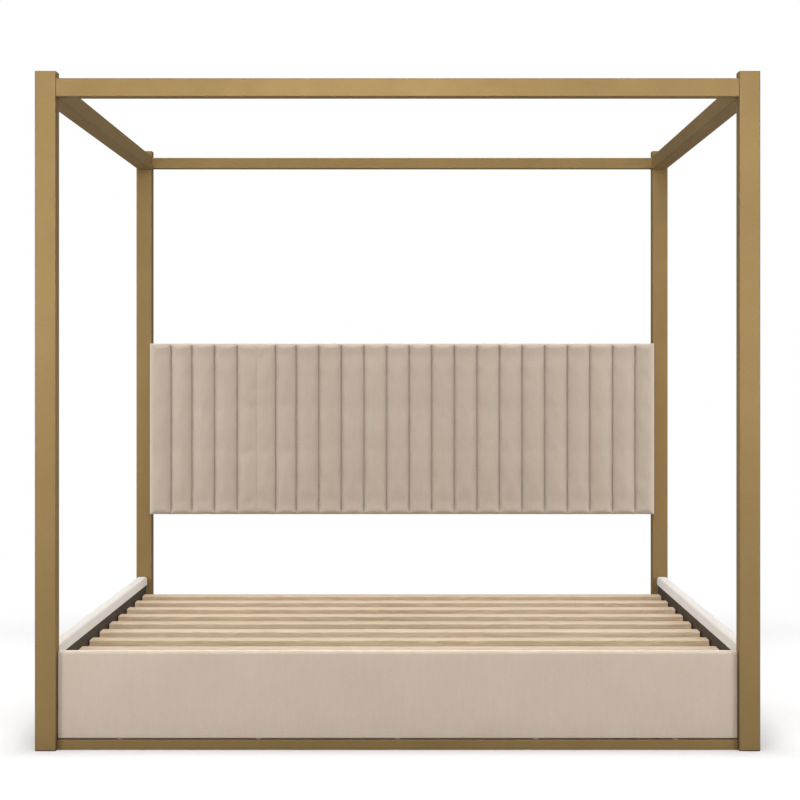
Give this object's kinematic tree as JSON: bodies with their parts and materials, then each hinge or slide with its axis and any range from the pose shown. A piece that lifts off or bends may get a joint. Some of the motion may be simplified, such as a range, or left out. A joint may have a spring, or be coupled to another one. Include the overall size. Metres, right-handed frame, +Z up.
{
  "type": "four poster canopy bed",
  "caption": "Four poster canopy bed: square gold metal posts and canopy rails, channelled upholstered headboard, padded footboard and side rails, slatted base.",
  "frame": {"origin": "on the floor, under the middle of the bed", "axes": "+Z up, +Y towards the headboard, +X to the right seen from the foot end"},
  "size_m": [2.08, 2.2, 1.95],
  "materials": {
    "gold_metal": "satin champagne-gold powder coat",
    "beige_fabric": "short-pile beige velvet, padded",
    "pine": "planed, unfinished pine",
    "dark_board": "board with a dark brown lining",
    "plywood": "raw plywood",
    "dark_cloth": "non-woven dust cloth",
    "black_steel": "black powder coat",
    "zinc_steel": "bright zinc plate",
    "black_plastic": "moulded"
  },
  "bodies": {
    "root": {"base_rail_front": "gold_metal", "base_rail_left": "gold_metal", "base_rail_right": "gold_metal", "base_rail_screws": "zinc_steel", "beam_hanger_front": "black_steel", "beam_hanger_rear": "black_steel", "bed_box_bolts": "zinc_steel", "canopy_bolts": "zinc_steel", "canopy_rail_front": "gold_metal", "canopy_rail_left": "gold_metal", "canopy_rail_rear": "gold_metal", "canopy_rail_right": "gold_metal", "canopy_screws": "zinc_steel", "canopy_spigots": "zinc_steel", "centre_beam": "black_steel", "centre_leg_1": "black_steel", "centre_leg_2": "black_steel", "centre_leg_3": "black_steel", "corner_brackets": "zinc_steel", "footboard_core": "dark_board", "footboard_cover": "beige_fabric", "frame_screws": "zinc_steel", "headboard_board": "plywood", "headboard_bolts": "zinc_steel", "headboard_brackets": "zinc_steel", "headboard_dust_cover": "dark_cloth", "headboard_pad": "beige_fabric", "post_cap_front_left": "gold_metal", "post_cap_front_right": "gold_metal", "post_cap_rear_left": "gold_metal", "post_cap_rear_right": "gold_metal", "post_front_left": "gold_metal", "post_front_right": "gold_metal", "post_glide_front_left": "black_plastic", "post_glide_front_right": "black_plastic", "post_glide_rear_left": "black_plastic", "post_glide_rear_right": "black_plastic", "post_rear_left": "gold_metal", "post_rear_right": "gold_metal", "rear_cross_rail": "gold_metal", "side_rail_left_core": "dark_board", "side_rail_left_cover": "beige_fabric", "side_rail_right_core": "dark_board", "side_rail_right_cover": "beige_fabric", "slat_01": "pine", "slat_02": "pine", "slat_03": "pine", "slat_04": "pine", "slat_05": "pine", "slat_06": "pine", "slat_07": "pine", "slat_08": "pine", "slat_09": "pine", "slat_10": "pine", "slat_ledge_left": "pine", "slat_ledge_right": "pine", "wood_screws": "zinc_steel"},
    "foot_1": {"levelling_foot_1": "black_plastic"},
    "foot_2": {"levelling_foot_2": "black_plastic"},
    "foot_3": {"levelling_foot_3": "black_plastic"}
  },
  "joints": [
    {"name": "levelling_foot_1_screw", "type": "slide", "parent": "root", "child": "foot_1", "axis": [0, 0, -1], "range_m": [-0.01, 0.02]},
    {"name": "levelling_foot_2_screw", "type": "slide", "parent": "root", "child": "foot_2", "axis": [0, 0, -1], "range_m": [-0.01, 0.02]},
    {"name": "levelling_foot_3_screw", "type": "slide", "parent": "root", "child": "foot_3", "axis": [0, 0, -1], "range_m": [-0.01, 0.02]}
  ]
}
